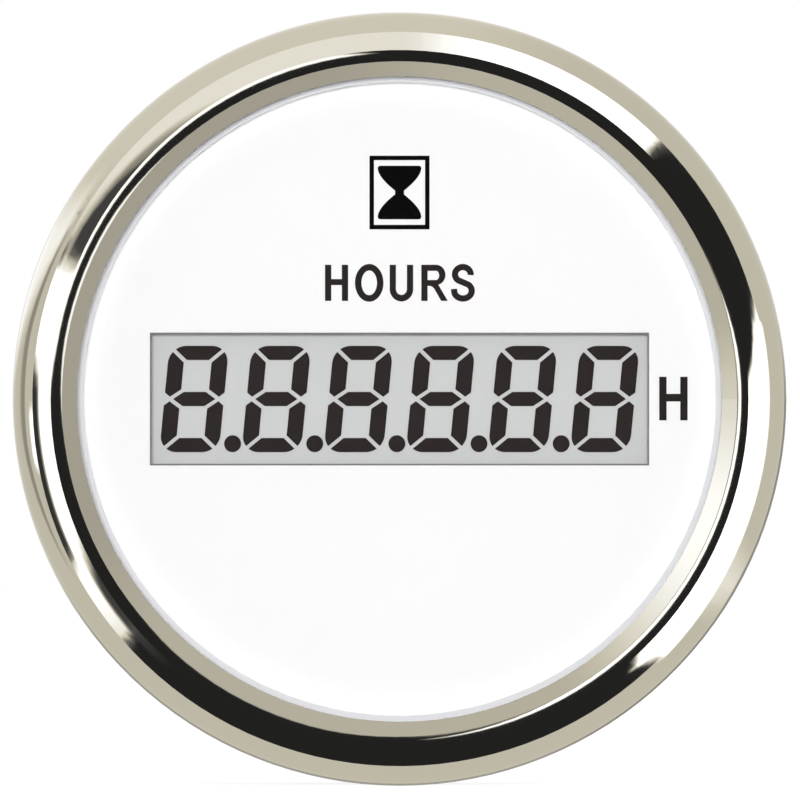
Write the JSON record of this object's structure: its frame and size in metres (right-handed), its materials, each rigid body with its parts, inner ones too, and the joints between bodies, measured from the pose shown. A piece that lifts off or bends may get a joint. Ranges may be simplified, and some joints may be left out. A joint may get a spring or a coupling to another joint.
{
  "type": "hour meter",
  "caption": "Round panel hour meter: digital counter under a flat lens in a polished bezel, with a black body, rear clamp bracket, studs and blade terminals.",
  "frame": {"origin": "on the meter's axis, at the front face of the panel it is fitted in (the gasket's rear face)", "axes": "+Y along the meter's axis towards its back, the dial faces -Y; +Z towards the dial's top; +X to the right of a person who reads the dial"},
  "size_m": [0.062, 0.0606, 0.062],
  "materials": {
    "bezel_metal": "polished",
    "lens_clear": "clear",
    "black_rubber": "matte",
    "pale_plastic": "satin",
    "dial_white": "matte",
    "display_glass": "clear",
    "display_ink": "matte",
    "display_ground": "frosted",
    "reflector_film": "satin",
    "guide_acrylic": "frosted",
    "holder_plastic": "satin",
    "contact_rubber": "striped",
    "board_green": "solder mask",
    "led_yellow": "clear",
    "chip_black": "matte",
    "can_metal": "satin",
    "screw_steel": "zinc plated",
    "housing_black": "moulded",
    "terminal_brass": "tinned edge",
    "stud_steel": "zinc plated",
    "bracket_steel": "zinc plated",
    "washer_steel": "spring steel",
    "nut_nickel": "nickel plated"
  },
  "bodies": {
    "gauge": {"bezel": "bezel_metal", "lens": "lens_clear", "lens_seal": "black_rubber", "panel_gasket": "black_rubber", "spacer_ring": "pale_plastic", "dial_plate": "dial_white", "lcd_front_glass": "display_glass", "lcd_segments": "display_ink", "lcd_rear_glass": "display_ground", "lcd_reflector": "reflector_film", "light_guide": "guide_acrylic", "lcd_holder": "holder_plastic", "contact_strip_upper": "contact_rubber", "contact_strip_lower": "contact_rubber", "circuit_board": "board_green", "backlight_leds": "led_yellow", "microcontroller": "chip_black", "memory_chip": "chip_black", "voltage_regulator": "chip_black", "surge_diode": "chip_black", "chip_resistors": "chip_black", "quartz_crystal": "can_metal", "filter_capacitor": "can_metal", "board_screws": "screw_steel", "housing": "housing_black", "terminal_positive": "terminal_brass", "terminal_negative": "terminal_brass", "terminal_backlight": "terminal_brass", "stud_left": "stud_steel", "stud_right": "stud_steel"},
    "clamp": {"clamp_bracket": "bracket_steel", "lock_washer_left": "washer_steel", "lock_washer_right": "washer_steel"},
    "nut_left": {"thumb_nut_left": "nut_nickel"},
    "nut_right": {"thumb_nut_right": "nut_nickel"}
  },
  "joints": [
    {"name": "clamp_slide", "type": "slide", "parent": "gauge", "child": "clamp", "axis": [0, 1, 0], "range_m": [-0.0049, 0.0084]},
    {"name": "nut_left_spin", "type": "hinge", "parent": "clamp", "child": "nut_left", "pos_m": [-0.016, 0.034, 0], "axis": [0, 1, 0], "range_deg": [-2520.01, 4320.01]},
    {"name": "nut_right_spin", "type": "hinge", "parent": "clamp", "child": "nut_right", "pos_m": [0.016, 0.034, 0], "axis": [0, 1, 0], "range_deg": [-2520.01, 4320.01]}
  ],
  "couplings": [
    {"joint": "nut_left_spin", "follows": "clamp_slide", "rad_per_m": 8976},
    {"joint": "nut_right_spin", "follows": "clamp_slide", "rad_per_m": 8976}
  ]
}
